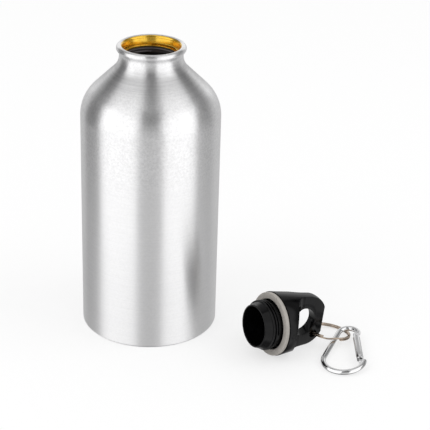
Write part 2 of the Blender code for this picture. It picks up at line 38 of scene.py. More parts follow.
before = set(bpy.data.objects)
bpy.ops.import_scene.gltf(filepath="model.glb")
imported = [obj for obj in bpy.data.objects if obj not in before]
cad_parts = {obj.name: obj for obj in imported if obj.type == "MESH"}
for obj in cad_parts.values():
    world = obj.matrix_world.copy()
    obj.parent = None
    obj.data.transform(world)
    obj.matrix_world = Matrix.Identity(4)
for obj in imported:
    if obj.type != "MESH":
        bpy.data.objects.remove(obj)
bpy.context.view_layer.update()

WELD = 0.000001  # vertices that are closer than this are one
SLIVER = 0.00006  # shorter edges go before the cap's edges are rounded
SHARP = 40  # degrees between faces that meet in a visible edge
FLAT = 1  # degrees between faces that count as one
THREAD_SINK = 0.0004  # how far a thread's tooth reaches into the wall that carries it
THREAD_ROUNDING = 0.0001
LIP_INWARD = 0.55  # cosine from which the lip's top counts as its inner side
CRANK_STEPS = 16  # facets of the ring's wire between its two levels
RING_CORNER = 0.34  # rounding of the ring's wire as a share of its height
RING_END_ROUNDING = 0.00008
FRAME_END_ROUNDING = 0.0003
TONGUE_ROUNDING = 0.0002
HINGE_TONGUE_SINK = 0.0006  # how far the hinge tongue reaches into the round wire
NOSE_TONGUE_SET_BACK = 0.0004  # how far short of the wire's middle the nose tongue stops
CUT_REACH = 0.004  # how far the cutters of the frame's hole and slot reach
HEAD_RADIUS = 1.5  # radius of a pin's head as a share of the pin's own
HEAD_ROUNDING = 0.2  # rounding of a pin's head as a share of the pin's radius
HEAD_FROM = 0.93  # start of a pin's head as a share of the pin's half length
HEAD_TO = 1.06  # end of a pin's head, likewise


def length(name, description, default):
    return FloatProperty(
        name=name, description=description, default=default, unit="LENGTH", precision=5
    )


def number(name, description, default, unit="NONE"):
    return FloatProperty(name=name, description=description, default=default, unit=unit)


def angle(name, description, degrees):
    return FloatProperty(
        name=name, description=description, default=math.radians(degrees), unit="ROTATION"
    )


def colour(name, description, default):
    return FloatVectorProperty(
        name=name, description=description, default=default, size=3, subtype="COLOR", min=0, max=1
    )


def share(name, description, default):
    return FloatProperty(
        name=name, description=description, default=default, subtype="FACTOR", min=0, max=1
    )


class BottleSettings(bpy.types.PropertyGroup):
    """Sizes and finish of the bottle's shell."""

    radius: length("Body radius", "Outer radius of the straight body", 0.033)
    wall: length("Wall", "Thickness of the drawn shell", 0.0009)
    base: length("Base", "Thickness of the base", 0.0012)
    base_corner: length("Base corner", "Radius of the corner at the base", 0.0009)
    floor_fillet: length("Floor fillet", "Inner radius between the floor and the wall", 0.003)
    shoulder_start: length("Shoulder start", "Height where the straight body ends", 0.1076)
    shoulder_arc: length("Shoulder radius", "Radius of the shoulder's outer curve", 0.0185)
    shoulder_slope: angle("Shoulder slope", "Angle of the shoulder's cone from upright", 45.7)
    neck_arc: length("Neck curve", "Radius of the hollow curve below the lip", 0.0095)
    neck_radius: length("Neck radius", "Outer radius at the neck's waist", 0.01485)
    neck_bore: length("Neck bore", "Inner radius at the root of the thread", 0.0128)
    neck_fillet: length("Neck fillet", "Inner radius between the cone and the neck", 0.002)
    lip_radius: length("Lip radius", "Outer radius of the rolled lip", 0.01624)
    lip_roll: length("Lip roll", "Section radius of the rolled lip", 0.0015)
    lip_fillet: length("Lip fillet", "Radius of the groove under the lip", 0.003)
    thread_pitch: length("Thread pitch", "Pitch of the neck's thread", 0.0014)
    thread_depth: length("Thread depth", "Depth of the neck's thread", 0.0008)
    thread_width: length("Thread width", "Width of the thread's root", 0.0011)
    thread_tip: length("Thread tip", "Width of the thread's crest", 0.0004)
    thread_turns: number("Thread turns", "Turns of the thread", 3)
    steps: IntProperty(name="Steps", description="Facets round the body", default=192, min=32)
    metal: colour("Metal", "Colour of the bare aluminium", (0.866, 0.864, 0.869))
    lacquer: colour("Lacquer", "Colour of the lacquer inside", (0.86, 0.53, 0.05))
    roughness: share("Roughness", "Roughness of the brushed metal", 0.36)


class CapSettings(bpy.types.PropertyGroup):
    """Sizes, place and finish of the cap and its seal."""

    place: FloatVectorProperty(
        name="Place", description="Middle of the flange's sealing face, over the floor", size=2,
        default=(0.05886, -0.0353), unit="LENGTH",
    )
    heading: angle("Heading", "Direction of the cap's axis over the floor, from +X", 28)
    radius: length("Radius", "Radius of the flange", 0.01545)
    cone_length: length("Cone length", "Height of the tapered side", 0.0192)
    cone_end: length("Cone end radius", "Radius where the dome starts", 0.01305)
    dome_arc: length("Dome radius", "Radius of the curve at the loop's end", 0.0105)
    height: length("Height", "From the sealing face to the loop's end", 0.0274)
    flange: length("Flange", "Thickness of the flange at its rim", 0.0042)
    flange_slope: angle("Flange slope", "How steeply the flange rises to the loop", 27)
    loop: length("Loop thickness", "Thickness of the flat loop", 0.0052)
    scoop: length("Scoop radius", "Radius between the loop and the flange", 0.009)
    finger_hole: length("Finger hole radius", "Radius of the large hole", 0.007)
    finger_height: length("Finger hole height", "Height of its middle", 0.0156)
    eyelet: length("Eyelet radius", "Radius of the ring's hole", 0.0021)
    eyelet_height: length("Eyelet height", "Height of its middle", 0.0229)
    eyelet_offset: length("Eyelet offset", "Distance of its middle from the axis", 0.0073)
    rounding: length("Rounding", "Radius of the moulded edges", 0.00035)
    plug_root: length("Plug radius", "Radius at the root of the thread", 0.0112)
    plug_thread: length("Thread radius", "Radius at the crest of the thread", 0.012)
    thread_pitch: length("Thread pitch", "Pitch of the plug's thread", 0.0014)
    thread_width: length("Thread width", "Width of the thread's root", 0.0011)
    thread_tip: length("Thread tip", "Width of the thread's crest", 0.0004)
    plug_nose: length("Nose radius", "Outer radius of the plug's nose", 0.0103)
    plug_wall: length("Plug wall", "Thickness of the nose's wall", 0.0008)
    plug_length: length("Plug length", "From the sealing face to the nose", 0.0107)
    nose_length: length("Nose length", "Length of the plain nose", 0.0011)
    taper_length: length("Taper length", "Length between nose and thread", 0.0016)
    hollow_depth: length("Hollow depth", "Depth of the hollow past the sealing face", 0.003)
    thread_turns: number("Thread turns", "Turns of the thread", 2.5)
    seal_radius: length("Seal radius", "Outer radius of the seal", 0.0152)
    seal_inner: length("Seal inner radius", "Inner radius of the seal", 0.0121)
    seal_thickness: length("Seal thickness", "Thickness of the seal", 0.0019)
    seal_gap: length("Seal gap", "Clearance between seal and flange", 0.0002)
    steps: IntProperty(name="Steps", description="Facets round the cap", default=160, min=32)
    plastic: colour("Plastic", "Colour of the cap", (0.0013, 0.0013, 0.0015))
    silicone: colour("Silicone", "Colour of the seal", (0.4, 0.375, 0.345))


class RingSettings(bpy.types.PropertyGroup):
    """Sizes, place and finish of the split ring."""

    radius: length("Radius", "Radius of the coil's middle line", 0.0102)
    wire_width: length("Wire width", "Width of the wire across the ring", 0.0012)
    wire_height: length("Wire height", "Height of the wire along the ring's axis", 0.0006)
    coil_gap: length("Coil gap", "Clearance between the two coils", 0.00025)
    end_angle: angle("End angle", "Angle left open at each end", 24)
    crank_angle: angle("Crank angle", "Angle over which the wire changes level", 36)
    split_at: angle("Split", "Where the wire's ends are, from the eyelet", -75)
    lift: length("Lift", "How far the wire sits above the eyelet's middle", 0.000275)
    droop: angle("Droop", "How far the ring dips from the cap's axis", -6.2)
    yaw: angle("Yaw", "How far the ring is turned in its own plane", -12.1)
    roll: angle("Roll", "How far the ring leans", -5.1)
    nickel: colour("Nickel", "Colour of the plating", (0.47, 0.385, 0.31))


class CarabinerSettings(bpy.types.PropertyGroup):
    """Sizes, place and finish of the carabiner."""

    place: FloatVectorProperty(
        name="Place", description="Middle of the wide end", size=3,
        default=(0.09242, -0.04706, 0.002386), unit="LENGTH",
    )
    turn: angle("Turn", "Direction of the narrow end, from +Y", 8)
    rise: angle("Rise", "How far the narrow end is raised", 4.1)
    roll: angle("Roll", "How far the gate's side is raised", 4.96)
    wire: length("Wire", "Diameter of the frame's wire", 0.0025)
    wide_radius: length("Wide radius", "Middle radius of the wide end", 0.0097)
    narrow_radius: length("Narrow radius", "Middle radius of the narrow end", 0.0048)
    narrow_offset: length("Narrow offset", "Sideways offset of the narrow end", 0.0016)
    centre_distance: length("Centre distance", "Distance between the two ends' middles", 0.0218)
    hinge_end: angle("Hinge end", "Where the narrow end's arc starts", 4)
    nose_end: angle("Nose end", "Where the wide end's arc stops", -3)
    tongue_thickness: length("Tongue thickness", "Thickness of the flattened ends", 0.0013)
    tongue_width: length("Tongue width", "Width of the flattened ends", 0.0019)
    hinge_offset: length("Hinge offset", "From the wire's end inward to the hinge", 0.0009)
    hinge_drop: length("Hinge drop", "From the wire's end along the gate to the hinge", 0.0028)
    nose_offset: length("Nose offset", "From the nose inward to the latch pin", 0.0021)
    latch_depth: length("Latch depth", "From the gate's end to the latch pin", 0.0014)
    gate_gap: length("Gate gap", "Clearance between the gate's end and the nose", 0.001)
    notch_gap: length("Notch gap", "Clearance round the latch pin", 0.0003)
    pin_gap: length("Pin gap", "Clearance round the pins", 0.00012)
    link_gap: length("Link gap", "Clearance at the tongue's end", 0.0003)
    gate_radius: length("Gate radius", "Outer radius of the gate's tube", 0.0017)
    gate_bore: length("Gate bore", "Inner radius of the gate's tube", 0.0011)
    gate_slot: length("Gate slot", "Width of the slots in the gate's ends", 0.0019)
    spring_space: length("Spring space", "Depth of the bore past the hinge slot", 0.00782)
    hinge_pin: length("Hinge pin", "Radius of the hinge pin", 0.0005)
    latch_pin: length("Latch pin", "Radius of the latch pin", 0.00042)
    chrome: colour("Chrome", "Colour of the polished plating", (0.86, 0.86, 0.865))
    steel: colour("Steel", "Colour of the spring and the plunger", (0.5, 0.5, 0.5))


class StudioSettings(bpy.types.PropertyGroup):
    """Camera, floor, surroundings and lamps."""

    camera_place: FloatVectorProperty(
        name="Camera place", description="Where the camera stands", size=3,
        default=(0.003, -0.6177, 0.3566), unit="LENGTH",
    )
    lens: number("Lens", "Focal length of the lens", 118.54, "CAMERA")
    pitch: angle("Pitch", "How far the camera looks down", 25.98)
    yaw: angle("Yaw", "How far the camera looks to the right", 2.64)
    roll: angle("Roll", "How far the camera is rolled", 1.71)
    floor_size: length("Floor size", "Side of the square floor", 12)
    floor: colour("Floor", "Colour of the floor", (0.93, 0.93, 0.93))
    floor_glow: share("Floor glow", "Share of plain white that the camera sees on the floor", 0.62)
    floor_white: number("Floor white", "Brightness of that white", 1.02)
    plain: number("Plain light", "Even light from all round", 0.85)
    strip: number("Strip light", "Brightness of the side panels", 1.17)
    room_rise: share("Room rise", "How far all heights in the mirrored room are raised", 0.045)
    lamp_size: length("Lamp size", "Side of each square lamp", 0.9)
    left_power: number("Left power", "Power of the left lamp", 4, "POWER")
    right_power: number("Right power", "Power of the right lamp", 3, "POWER")


SETTINGS = {
    "bottle_shell_look": BottleSettings,
    "bottle_cap_look": CapSettings,
    "bottle_ring_look": RingSettings,
    "bottle_carabiner_look": CarabinerSettings,
    "bottle_studio_look": StudioSettings,
}


def settings(name):
    """The scene's own settings of one group."""
    return getattr(bpy.context.scene, f"bottle_{name}_look")


class Value:
    """A socket that takes part in Python expressions by adding Math nodes."""

    def __init__(self, nodes, socket):
        self.nodes = nodes
        self.socket = socket

    def maths(self, operation, first, second=0.0):
        """Adds one Math node. The second value only counts where the operation has two."""
        return self.nodes.add("ShaderNodeMath", {"operation": operation}, {0: first, 1: second})

    def __add__(self, other):
        return self.maths("ADD", self, other)

    def __sub__(self, other):
        return self.maths("SUBTRACT", self, other)

    def __rsub__(self, other):
        return self.maths("SUBTRACT", other, self)

    def __mul__(self, other):
        return self.maths("MULTIPLY", self, other)

    def __truediv__(self, other):
        return self.maths("DIVIDE", self, other)

    def __rtruediv__(self, other):
        return self.maths("DIVIDE", other, self)

    __radd__ = __add__
    __rmul__ = __mul__

    def size(self):
        return self.maths("ABSOLUTE", self)

    def ramp(self, low, high):
        """0 below low, 1 above high and a smooth change between."""
        chosen = {"interpolation_type": "SMOOTHSTEP"}
        return self.nodes.add("ShaderNodeMapRange", chosen, {0: self, 1: low, 2: high})


class Nodes:
    """The node tree of a material or of the world."""

    def __init__(self, owner):
        self.owner = owner
        owner.use_nodes = True
        self.tree = owner.node_tree

    def add(self, kind, chosen=None, inputs=None, output=0):
        """Adds one node: its type, its settings, and the values or links of its sockets."""
        made = self.tree.nodes.new(kind)
        for key, value in (chosen or {}).items():
            setattr(made, key, value)
        for key, value in (inputs or {}).items():
            self.feed(made.inputs[key], value)
        return Value(self, made.outputs[output])

    def feed(self, socket, value):
        """Links a Value to the socket, or sets the socket's own number or colour."""
        if isinstance(value, Value):
            self.tree.links.new(value.socket, socket)
        elif socket.type == "RGBA":
            socket.default_value = (*value[:3], 1)
        else:
            socket.default_value = value

    def surface(self, **inputs):
        """Sets the Principled shader's sockets. An underscore stands for a space."""
        for key, value in inputs.items():
            self.feed(self.tree.nodes["Principled BSDF"].inputs[key.replace("_", " ")], value)
        return self.owner

    def place(self):
        return self.add("ShaderNodeTexCoord", output="Object")

    def height(self):
        """Height over the floor at rest."""
        return self.add("ShaderNodeSeparateXYZ", None, {0: self.place()}, "Z")

    def mapped(self, scale, rotation=(0, 0, 0)):
        inputs = {"Vector": self.place(), "Scale": scale, "Rotation": rotation}
        return self.add("ShaderNodeMapping", None, inputs)

    def noise(self, scale, detail=2.0, roughness=0.5, vector=None):
        inputs = {"Vector": vector or self.place(), "Scale": scale, "Detail": detail}
        return self.add("ShaderNodeTexNoise", None, {**inputs, "Roughness": roughness}, "Fac")

    def mix(self, factor, first, second):
        return self.add("ShaderNodeMix", {"data_type": "RGBA"}, {0: factor, 6: first, 7: second}, 2)

    def shaded(self, tint, tone):
        """A colour made lighter or darker by a number."""
        inputs = {0: tuple(tint), "Scale": tone}
        return self.add("ShaderNodeVectorMath", {"operation": "SCALE"}, inputs)

    def bump(self, height, strength, distance):
        inputs = {"Height": height, "Strength": strength, "Distance": distance}
        return self.add("ShaderNodeBump", None, inputs)


def finish_named(name):
    return Nodes(bpy.data.materials.new(name))


class Outline:
    """A line in the XZ plane, drawn from point to point and turned into a solid about Z."""

    def __init__(self, x, z):
        self.bm = bmesh.new()
        self.tip = self.bm.verts.new((x, 0, z))

    def line(self, x, z):
        made = bmesh.ops.extrude_vert_indiv(self.bm, verts=[self.tip])
        self.tip = made["verts"][0]
        self.tip.co = (x, 0, z)
        return self

    def arc(self, x, z, radians, steps):
        """Carries the line round the centre (x, z). Positive turns from +X towards +Z."""
        made = bmesh.ops.spin(
            self.bm, geom=[self.tip], cent=(x, 0, z), axis=(0, -1, 0), angle=radians, steps=steps
        )
        self.tip = only(made["geom_last"], bmesh.types.BMVert)[0]
        return self

    def turned(self, steps):
        bmesh.ops.spin(
            self.bm, geom=self.bm.verts[:] + self.bm.edges[:], cent=(0, 0, 0), axis=(0, 0, 1),
            angle=2 * math.pi, steps=steps, use_merge=True,
        )
        return welded(self.bm)


class Wire:
    """A face in a plane through Z, carried along arcs and straights into a solid wire."""

    def __init__(self, bm):
        self.bm = bm
        self.geom = bm.faces[:] + bm.edges[:] + bm.verts[:]

    def arc(self, centre, radians, steps, climb=0.0):
        made = bmesh.ops.spin(
            self.bm, geom=self.geom, cent=centre, axis=(0, 0, 1), angle=radians, steps=steps,
            dvec=(0, 0, climb / steps),
        )
        self.geom = made["geom_last"]
        return self

    def run(self, way):
        faces = only(self.geom, bmesh.types.BMFace)
        self.geom = bmesh.ops.extrude_face_region(self.bm, geom=faces)["geom"]
        bmesh.ops.translate(self.bm, vec=way, verts=only(self.geom, bmesh.types.BMVert))
        return self


def only(geom, kind):
    """The vertices, edges or faces among what a bmesh operator gave back."""
    return [item for item in geom if isinstance(item, kind)]


def welded(bm):
    """Joins vertices that coincide and turns all faces outward."""
    bmesh.ops.remove_doubles(bm, verts=bm.verts, dist=WELD)
    bmesh.ops.recalc_face_normals(bm, faces=bm.faces)
    return bm


def joined(first, *others):
    """Adds the geometry of the other bmeshes to the first."""
    for other in others:
        mesh = bpy.data.meshes.new("joining")
        other.to_mesh(mesh)
        other.free()
        first.from_mesh(mesh)
        bpy.data.meshes.remove(mesh)
    return first


def moved(bm, *matrices):
    """Applies the matrices, the last one first."""
    for matrix in reversed(matrices):
        bmesh.ops.transform(bm, matrix=matrix, verts=bm.verts)
    return bm


def cylinder(radius, low, high, segments=48):
    """A solid cylinder along Z."""
    bm = bmesh.new()
    bmesh.ops.create_cone(
        bm, cap_ends=True, segments=segments, radius1=radius, radius2=radius, depth=high - low,
        matrix=Matrix.Translation((0, 0, (low + high) / 2)),
    )
    return bm


def block(low, high):
    """A box between two opposite corners."""
    low, high = Vector(low), Vector(high)
    bm = bmesh.new()
    size = Matrix.Diagonal((*(high - low), 1))
    bmesh.ops.create_cube(bm, size=1, matrix=Matrix.Translation((low + high) / 2) @ size)
    return bm


def softened(bm, width, segments=3, over=SHARP):
    """Rounds every edge that is sharper than the given angle in degrees."""
    limit = math.radians(over)
    sharp = [edge for edge in bm.edges if edge.is_manifold and edge.calc_face_angle(0) > limit]
    bmesh.ops.bevel(
        bm, geom=sharp, offset=width, affect="EDGES", segments=segments, profile=0.5, material=-1,
        clamp_overlap=True,
    )
    return bm


def as_object(bm, name):
    mesh = bpy.data.meshes.new(name)
    bm.to_mesh(mesh)
    bm.free()
    obj = bpy.data.objects.new(name, mesh)
    bpy.context.scene.collection.objects.link(obj)
    return obj


def carved(blank, cuts=(), joins=()):
    """The blank with the joins added and the cuts taken away, through exact Booleans."""
    obj = as_object(blank, "blank")
    unused = [obj]
    for operation, group in (("UNION", joins), ("DIFFERENCE", cuts)):
        for other in group:
            tool = as_object(other, "tool")
            unused.append(tool)
            modifier = obj.modifiers.new(operation, "BOOLEAN")
            modifier.operation = operation
            modifier.object = tool
            modifier.solver = "EXACT"
    graph = bpy.context.evaluated_depsgraph_get()
    mesh = bpy.data.meshes.new_from_object(obj.evaluated_get(graph))
    bm = bmesh.new()
    bm.from_mesh(mesh)
    bpy.data.meshes.remove(mesh)
    for item in unused:
        bpy.data.objects.remove(item, do_unlink=True)
    return welded(bm)


def finished(bm, name, materials, body, node, place=None):
    """Makes the piece that stands for a CAD node, with its place in its mesh."""
    if not bm.faces:
        raise RuntimeError(f"{name} has no faces")
    if place:
        moved(bm, place)
    obj = as_object(bm, name)
    obj.data.shade_smooth()
    obj.data.set_sharp_from_angle(angle=math.radians(SHARP))
    for material in materials:
        obj.data.materials.append(material)
    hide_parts(node)
    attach(obj, body)
    return obj


def thread(root, crest, width, tip, middle, pitch, turns, steps):
    """A helical tooth round Z, sunk a little into the wall that carries it."""
    sink = math.copysign(THREAD_SINK, root - crest)
    corners = [
        (root + sink, middle - width / 2),
        (root + sink, middle + width / 2),
        (crest, middle + tip / 2),
        (crest, middle - tip / 2),
    ]
    bm = bmesh.new()
    bm.faces.new([bm.verts.new((x, 0, z)) for x, z in corners])
    Wire(bm).arc((0, 0, 0), 2 * math.pi * turns, round(steps * turns), pitch * turns)
    return softened(welded(bm), THREAD_ROUNDING, 2, 30)


# Finishes


def brushed_aluminium(s):
    """Bare aluminium: brushed round its axis, grainy where the drawn wall starts to narrow, and
    darkened by painted shade over the shoulder's cone and the curve into the neck.
    """
    nodes = finish_named("brushed_aluminium_brushed")
    height = nodes.height()
    # Mask of the shoulder's cone and the curve into the neck: it carries painted shade (darker
    # colour standing in for the darker reflection there) as well as the stronger real brush lines.
    cone = height.ramp(0.12, 0.13) * (1 - height.ramp(0.131, 0.137))
    grainy = height.ramp(0.07, 0.1) * (1 - cone)
    fine = nodes.noise(1, 3, 0.6, nodes.mapped((60, 60, 9000)))
    lines = nodes.noise(1, 2, 0.6, nodes.mapped((35, 35, 2200)))
    cloud = nodes.noise(38, 3)
    grain = nodes.noise(900, 3, 0.8)
    speck = (grain.ramp(0.3, 0.7) - 0.5) * (0.05 + 0.14 * grainy)
    # The - 0.4 * cone term is painted shade on the shoulder's cone and neck curve.
    tone = 0.88 + (0.1 + 0.25 * cone) * lines + 0.09 * fine + 0.04 * cloud - 0.4 * cone + speck
    relief = fine * (0.5 + 0.8 * cone) + lines * 0.35 + grain * (1 + 1.5 * grainy)
    return nodes.surface(
        Base_Color=nodes.shaded(s.metal, tone),
        Metallic=1.0,
        Roughness=s.roughness - 0.04 + 0.07 * lines + 0.06 * cloud - 0.06 * height.ramp(0.02, 0.07),
        Anisotropic=0.8,
        Anisotropic_Rotation=0.25,
        Normal=nodes.bump(relief, 0.35, 0.00005),
    )


def gold_lacquer(s):
    """Golden lacquer in the neck; lower down in the bottle a painted shade, near-black grey and
    less metallic, stands in for the shadow inside.
    """
    nodes = finish_named("brushed_aluminium_lacquered")
    cloud = nodes.noise(300, 3)
    gold = nodes.mix(cloud.ramp(0.35, 0.7), s.lacquer, (0.76, 0.46, 0.035))
    # Painted shade: below this height the colour turns near-black grey and less metallic, standing
    # in for the shadow inside the bottle.
    neck = nodes.height().ramp(0.1362, 0.137)
    return nodes.surface(
        Base_Color=nodes.mix(neck, (0.11, 0.1, 0.105), gold),
        Metallic=0.1 + 0.8 * neck,
        Roughness=0.16 + 0.1 * cloud,
        Coat_Weight=0.5,
        Coat_Roughness=0.08,
        Normal=nodes.bump(nodes.noise(900, 2), 0.1, 0.00005),
    )


def moulded_plastic(s):
    """Moulded polypropylene with a faint grain and handling marks."""
    nodes = finish_named("black_plastic_moulded")
    grain = nodes.noise(2600, 2, 0.6)
    wear = nodes.noise(240, 4, 0.6).ramp(0.45, 0.75)
    return nodes.surface(
        Base_Color=nodes.mix(wear, s.plastic, (0.003, 0.003, 0.0034)),
        Roughness=0.13 + 0.08 * wear + 0.04 * grain,
        Specular_IOR_Level=0.2,
        Normal=nodes.bump(grain, 0.12, 0.00005),
    )


def pale_silicone(s):
    """Off-white silicone of the seal."""
    nodes = finish_named("washer_silicone_smooth")
    cloud = nodes.noise(420, 3)
    return nodes.surface(
        Base_Color=nodes.mix(cloud.ramp(0.4, 0.75), s.silicone, (0.33, 0.31, 0.285)),
        Roughness=0.48 + 0.1 * cloud,
        Normal=nodes.bump(nodes.noise(1800, 2), 0.1, 0.00006),
    )


def plated(name, tint, roughness, scratch):
    """Plated wire with fine scratches."""
    nodes = finish_named(name)
    cloud = nodes.noise(350, 3)
    lines = nodes.noise(1, 3, 0.6, nodes.mapped((3500, 500, 3500), (0.3, 0.2, 0.4)))
    return nodes.surface(
        Base_Color=nodes.mix(cloud.ramp(0.45, 0.8), tint, [0.86 * part for part in tint]),
        Metallic=1.0,
        Roughness=roughness + 0.08 * cloud,
        Normal=nodes.bump(lines, scratch, 0.00003),
    )


# Shapes


def bottle_levels(s):
    """Heights of the neck's waist and the lip, and the radius of the lip's middle."""
    drop = 1 - math.cos(s.shoulder_slope)
    both = s.shoulder_arc + s.neck_arc
    cone = s.radius - s.neck_radius - both * drop
    neck = s.shoulder_start + both * math.sin(s.shoulder_slope) + cone / math.tan(s.shoulder_slope)
    middle = s.lip_radius - s.lip_roll
    reach = s.lip_fillet + s.lip_roll
    lip = neck + math.sqrt(reach**2 - (s.neck_radius + s.lip_fillet - middle) ** 2)
    return neck, lip, middle


def shell_outside(s):
    """From the inner edge of the lip over its top and down to the middle of the base."""
    neck, lip, middle = bottle_levels(s)
    meet = math.atan2(neck - lip, s.neck_radius + s.lip_fillet - middle)
    across, up = math.cos(s.shoulder_slope), math.sin(s.shoulder_slope)
    shoulder = s.radius - s.shoulder_arc
    line = Outline(middle - s.lip_roll, lip)
    line.arc(middle, lip, meet - math.pi, 26)
    line.arc(s.neck_radius + s.lip_fillet, neck, -meet, 12)
    line.arc(s.neck_radius + s.neck_arc, neck, s.shoulder_slope, 20)
    line.line(shoulder + s.shoulder_arc * across, s.shoulder_start + s.shoulder_arc * up)
    line.arc(shoulder, s.shoulder_start, -s.shoulder_slope, 28)
    line.line(s.radius, s.base_corner)
    line.arc(s.radius - s.base_corner, s.base_corner, -math.pi / 2, 8)
    line.line(0, 0)
    return line.turned(s.steps)


def shell_inside(s):
    """From the middle of the floor up the wall, the cone and the neck to the lip."""
    _, lip, middle = bottle_levels(s)
    across, up = math.cos(s.shoulder_slope), math.sin(s.shoulder_slope)
    wall = s.radius - s.wall
    curve = s.shoulder_arc - s.wall
    cone = wall - s.neck_bore - (curve + s.neck_fillet) * (1 - across)
    waist = s.shoulder_start + (curve + s.neck_fillet) * up + cone * across / up
    fillet = s.neck_bore + s.neck_fillet
    line = Outline(0, s.base)
    line.line(wall - s.floor_fillet, s.base)
    line.arc(wall - s.floor_fillet, s.base + s.floor_fillet, math.pi / 2, 10)
    line.line(wall, s.shoulder_start)
    line.arc(wall - curve, s.shoulder_start, s.shoulder_slope, 24)
    line.line(fillet - s.neck_fillet * across, waist - s.neck_fillet * up)
    line.arc(fillet, waist, -s.shoulder_slope, 8)
    line.line(s.neck_bore, lip - s.lip_roll / 2)
    line.line(middle - s.lip_roll, lip)
    bm = line.turned(s.steps)
    for face in bm.faces:
        face.material_index = 1
    return bm


def bottle_shell(s):
    """Closed shell of drawn metal with its rolled lip, and the thread inside its neck."""
    _, lip, _ = bottle_levels(s)
    shell = welded(joined(shell_outside(s), shell_inside(s)))
    for face in shell.faces:
        middle = face.calc_center_median()
        inward = face.normal.dot(Vector((-middle.x, -middle.y, 0)).normalized())
        if middle.z > lip and inward > LIP_INWARD:
            face.material_index = 1
    first = lip - s.lip_roll / 2 - s.thread_width - s.thread_turns * s.thread_pitch
    coil = thread(
        s.neck_bore, s.neck_bore - s.thread_depth, s.thread_width, s.thread_tip, first,
        s.thread_pitch, s.thread_turns, s.steps,
    )
    moved(coil, Matrix.Rotation(math.pi / 2, 4, "Z"))
    for face in coil.faces:
        face.material_index = 1
    return joined(shell, coil)


def cap_lean(s):
    """Angle between the tapered side and the cap's axis. The cap lies on that side."""
    return math.atan2(s.radius - s.cone_end, s.cone_length)


def cap_matrix(s):
    """Place of the cap, which is modelled along Z with its holes along X."""
    height = Vector((*s.place, s.radius * math.cos(cap_lean(s))))
    turn = Matrix.Rotation(s.heading + math.pi / 2, 4, "Z")
    return Matrix.Translation(height) @ turn @ Matrix.Rotation(math.pi / 2 + cap_lean(s), 4, "X")


def cap_blank(s):
    """Turned form of the cap: dome, taper, flange, plug and the hollow in the plug."""
    lean = cap_lean(s)
    across = s.cone_end - s.dome_arc * math.cos(lean)
    up = s.cone_length - s.dome_arc * math.sin(lean)
    top = math.asin((s.height - up) / s.dome_arc)
    nose = -s.plug_length
    edge = s.plug_wall / 3
    hollow = s.plug_nose - s.plug_wall
    line = Outline(0, s.height)
    line.line(across + s.dome_arc * math.cos(top), s.height)
    line.arc(across, up, lean - top, 24)
    line.line(s.radius, 0)
    line.line(s.plug_root, 0)
    line.line(s.plug_root, nose + s.nose_length + s.taper_length)
    line.line(s.plug_nose, nose + s.nose_length)
    line.line(s.plug_nose, nose + edge)
    line.arc(s.plug_nose - edge, nose + edge, -math.pi / 2, 4)
    line.line(hollow + edge, nose)
    line.arc(hollow + edge, nose + edge, -math.pi / 2, 4)
    line.line(hollow, s.hollow_depth)
    line.line(0, s.hollow_depth)
    return line.turned(s.steps)


def scoop(s, side):
    """What is cut from one side to leave the flat loop, with its hollow run-out to the flange."""
    reach = s.radius + s.scoop / 2
    half = s.loop / 2
    foot = half + s.scoop * (1 - math.sin(s.flange_slope))
    low = s.flange + (s.radius - foot) * math.tan(s.flange_slope)
    line = Outline(reach, s.flange - (reach - s.radius) * math.tan(s.flange_slope))
    line.line(foot, low)
    middle = low + s.scoop * math.cos(s.flange_slope)
    line.arc(half + s.scoop, middle, s.flange_slope - math.pi / 2, 24)
    line.line(half, 2 * s.height)
    line.line(reach, 2 * s.height)
    bm = line.bm
    bmesh.ops.contextual_create(bm, geom=bm.verts[:])
    Wire(bm).run((0, 2 * reach, 0))
    bmesh.ops.translate(bm, vec=(0, -reach, 0), verts=bm.verts)
    bmesh.ops.scale(bm, vec=(side, 1, 1), verts=bm.verts)
    return welded(bm)


def drill(radius, across, up, reach, segments):
    """A cutter along the cap's X axis."""
    turn = Matrix.Rotation(math.pi / 2, 4, "Y")
    bit = cylinder(radius, -reach, reach, segments)
    return moved(bit, Matrix.Translation((0, across, up)), turn)


def cap_body(s):
    """One moulding: loop with finger hole and eyelet, flange, and threaded plug."""
    cuts = [scoop(s, -1), scoop(s, 1)]
    cuts.append(drill(s.finger_hole, 0, s.finger_height, s.loop, 96))
    cuts.append(drill(s.eyelet, -s.eyelet_offset, s.eyelet_height, s.loop, 48))
    body = carved(cap_blank(s), cuts)
    bmesh.ops.dissolve_limit(
        body, angle_limit=math.radians(FLAT), verts=body.verts, edges=body.edges, delimit=set()
    )
    bmesh.ops.remove_doubles(body, verts=body.verts, dist=SLIVER)
    softened(body, s.rounding, 3, 30)
    first = s.thread_width / 2 - s.plug_length + s.nose_length + s.taper_length + s.seal_gap
    return joined(
        body,
        thread(
            s.plug_root, s.plug_thread, s.thread_width, s.thread_tip, first, s.thread_pitch,
            s.thread_turns, s.steps,
        ),
    )


def seal_ring(s):
    """Flat ring with rounded edges, round the plug and against the flange."""
    top = -s.seal_gap
    bottom = top - s.seal_thickness
    soft = s.seal_thickness / 4
    line = Outline(s.seal_inner, top)
    line.line(s.seal_radius - soft, top)
    line.arc(s.seal_radius - soft, top - soft, -math.pi / 2, 6)
    line.line(s.seal_radius, bottom + soft)
    line.arc(s.seal_radius - soft, bottom + soft, -math.pi / 2, 6)
    line.line(s.seal_inner + soft, bottom)
    line.arc(s.seal_inner + soft, bottom + soft, -math.pi / 2, 6)
    line.line(s.seal_inner, top)
    return line.turned(s.steps)


def ring_matrix(cap, ring):
    """Place of the ring, which is wound round Z with the eyelet at the origin."""
    eyelet = Matrix.Translation((0, -cap.eyelet_offset, cap.eyelet_height))
    droop = Matrix.Rotation(-ring.droop, 4, "X") @ Matrix.Translation((0, ring.lift, 0))
    turn = Matrix.Rotation(ring.roll, 4, "Z") @ Matrix.Rotation(ring.yaw, 4, "Y")
    return cap_matrix(cap) @ eyelet @ droop @ turn @ Matrix.Rotation(math.pi / 2, 4, "X")


